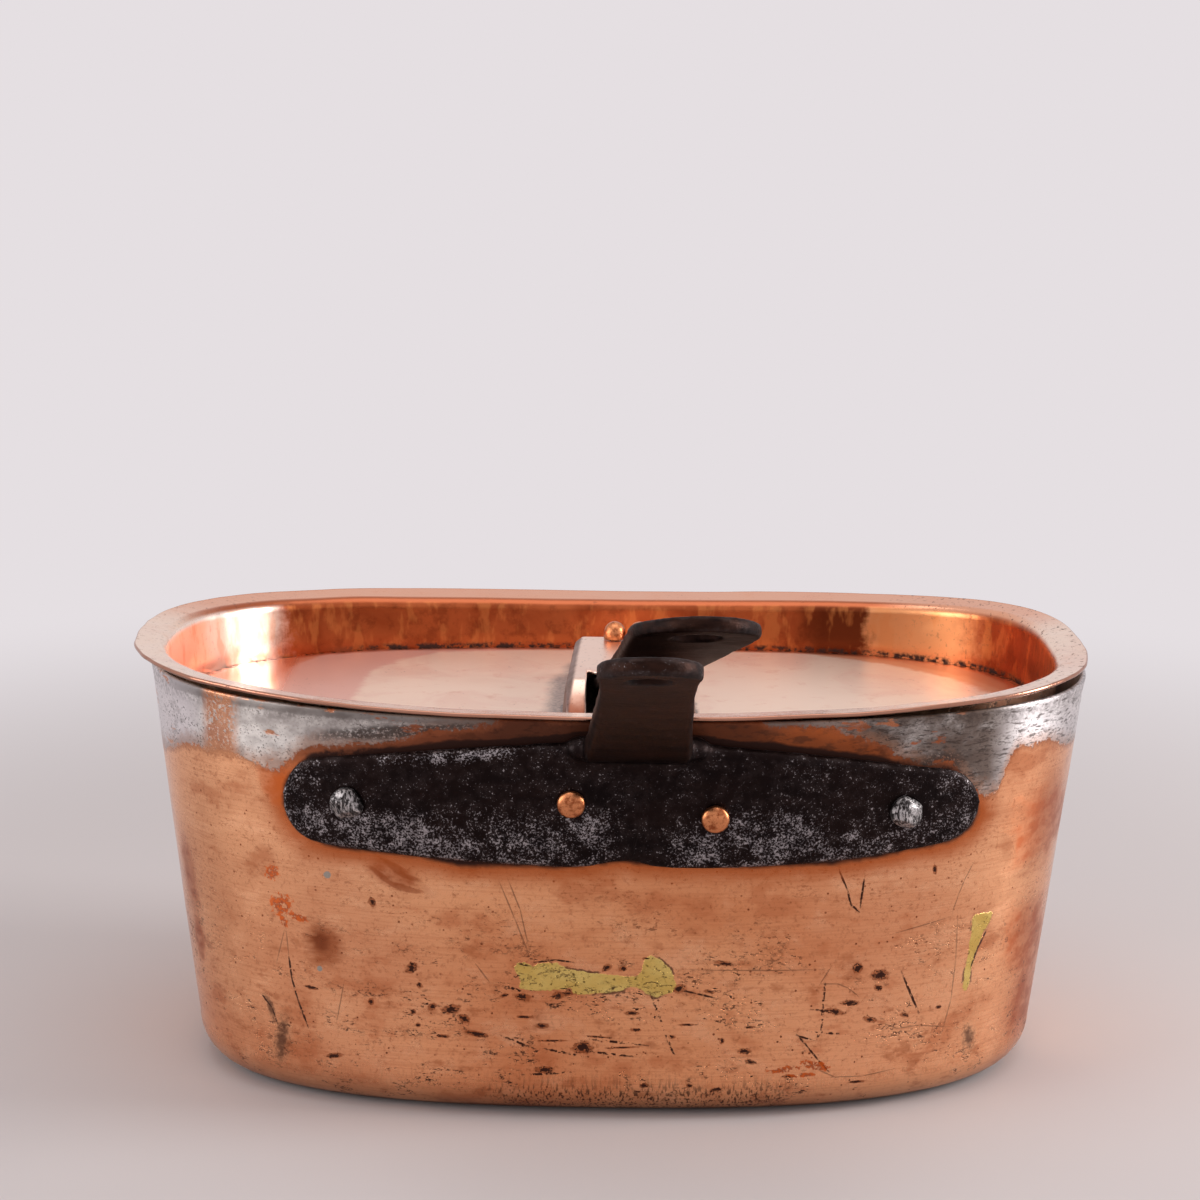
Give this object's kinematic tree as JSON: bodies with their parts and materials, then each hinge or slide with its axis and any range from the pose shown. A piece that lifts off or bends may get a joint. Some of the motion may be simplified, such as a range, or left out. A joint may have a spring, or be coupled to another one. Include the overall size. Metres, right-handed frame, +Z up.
{
  "type": "lidded copper saucepan",
  "caption": "Squared-oval copper pan with a long forged iron handle riveted across its side, and a sunk copper lid with its own iron handle on a copper bridge.",
  "frame": {"origin": "centre of the flat underside, on the surface that the pan stands on", "axes": "+Z up out of the pan; -Y the side that both handles point to; +X to the right for someone facing the handles"},
  "size_m": [0.316, 0.38, 0.1974],
  "materials": {
    "body_copper": "satin copper, pitted and rubbed, tinned inside and over the rim",
    "lid_copper": "polished copper",
    "copper_rivet": "rubbed copper",
    "forged_iron": "black forged iron with worn bright edges",
    "iron_rivet": "hammered iron, rubbed bright"
  },
  "bodies": {
    "pan": {"pot_body": "body_copper", "pan_handle": "forged_iron", "rivet_outer_left": "iron_rivet", "rivet_inner_left": "copper_rivet", "rivet_inner_right": "copper_rivet", "rivet_outer_right": "iron_rivet"},
    "lid": {"lid_collar": "lid_copper", "lid_floor": "lid_copper", "lid_bridge": "lid_copper", "lid_handle": "forged_iron", "lid_rivet_left": "copper_rivet", "lid_rivet_right": "copper_rivet"}
  },
  "joints": [
    {"name": "lid_lift", "type": "slide", "parent": "pan", "child": "lid", "axis": [0, 0, 1], "range_m": [0, 0.1]}
  ]
}
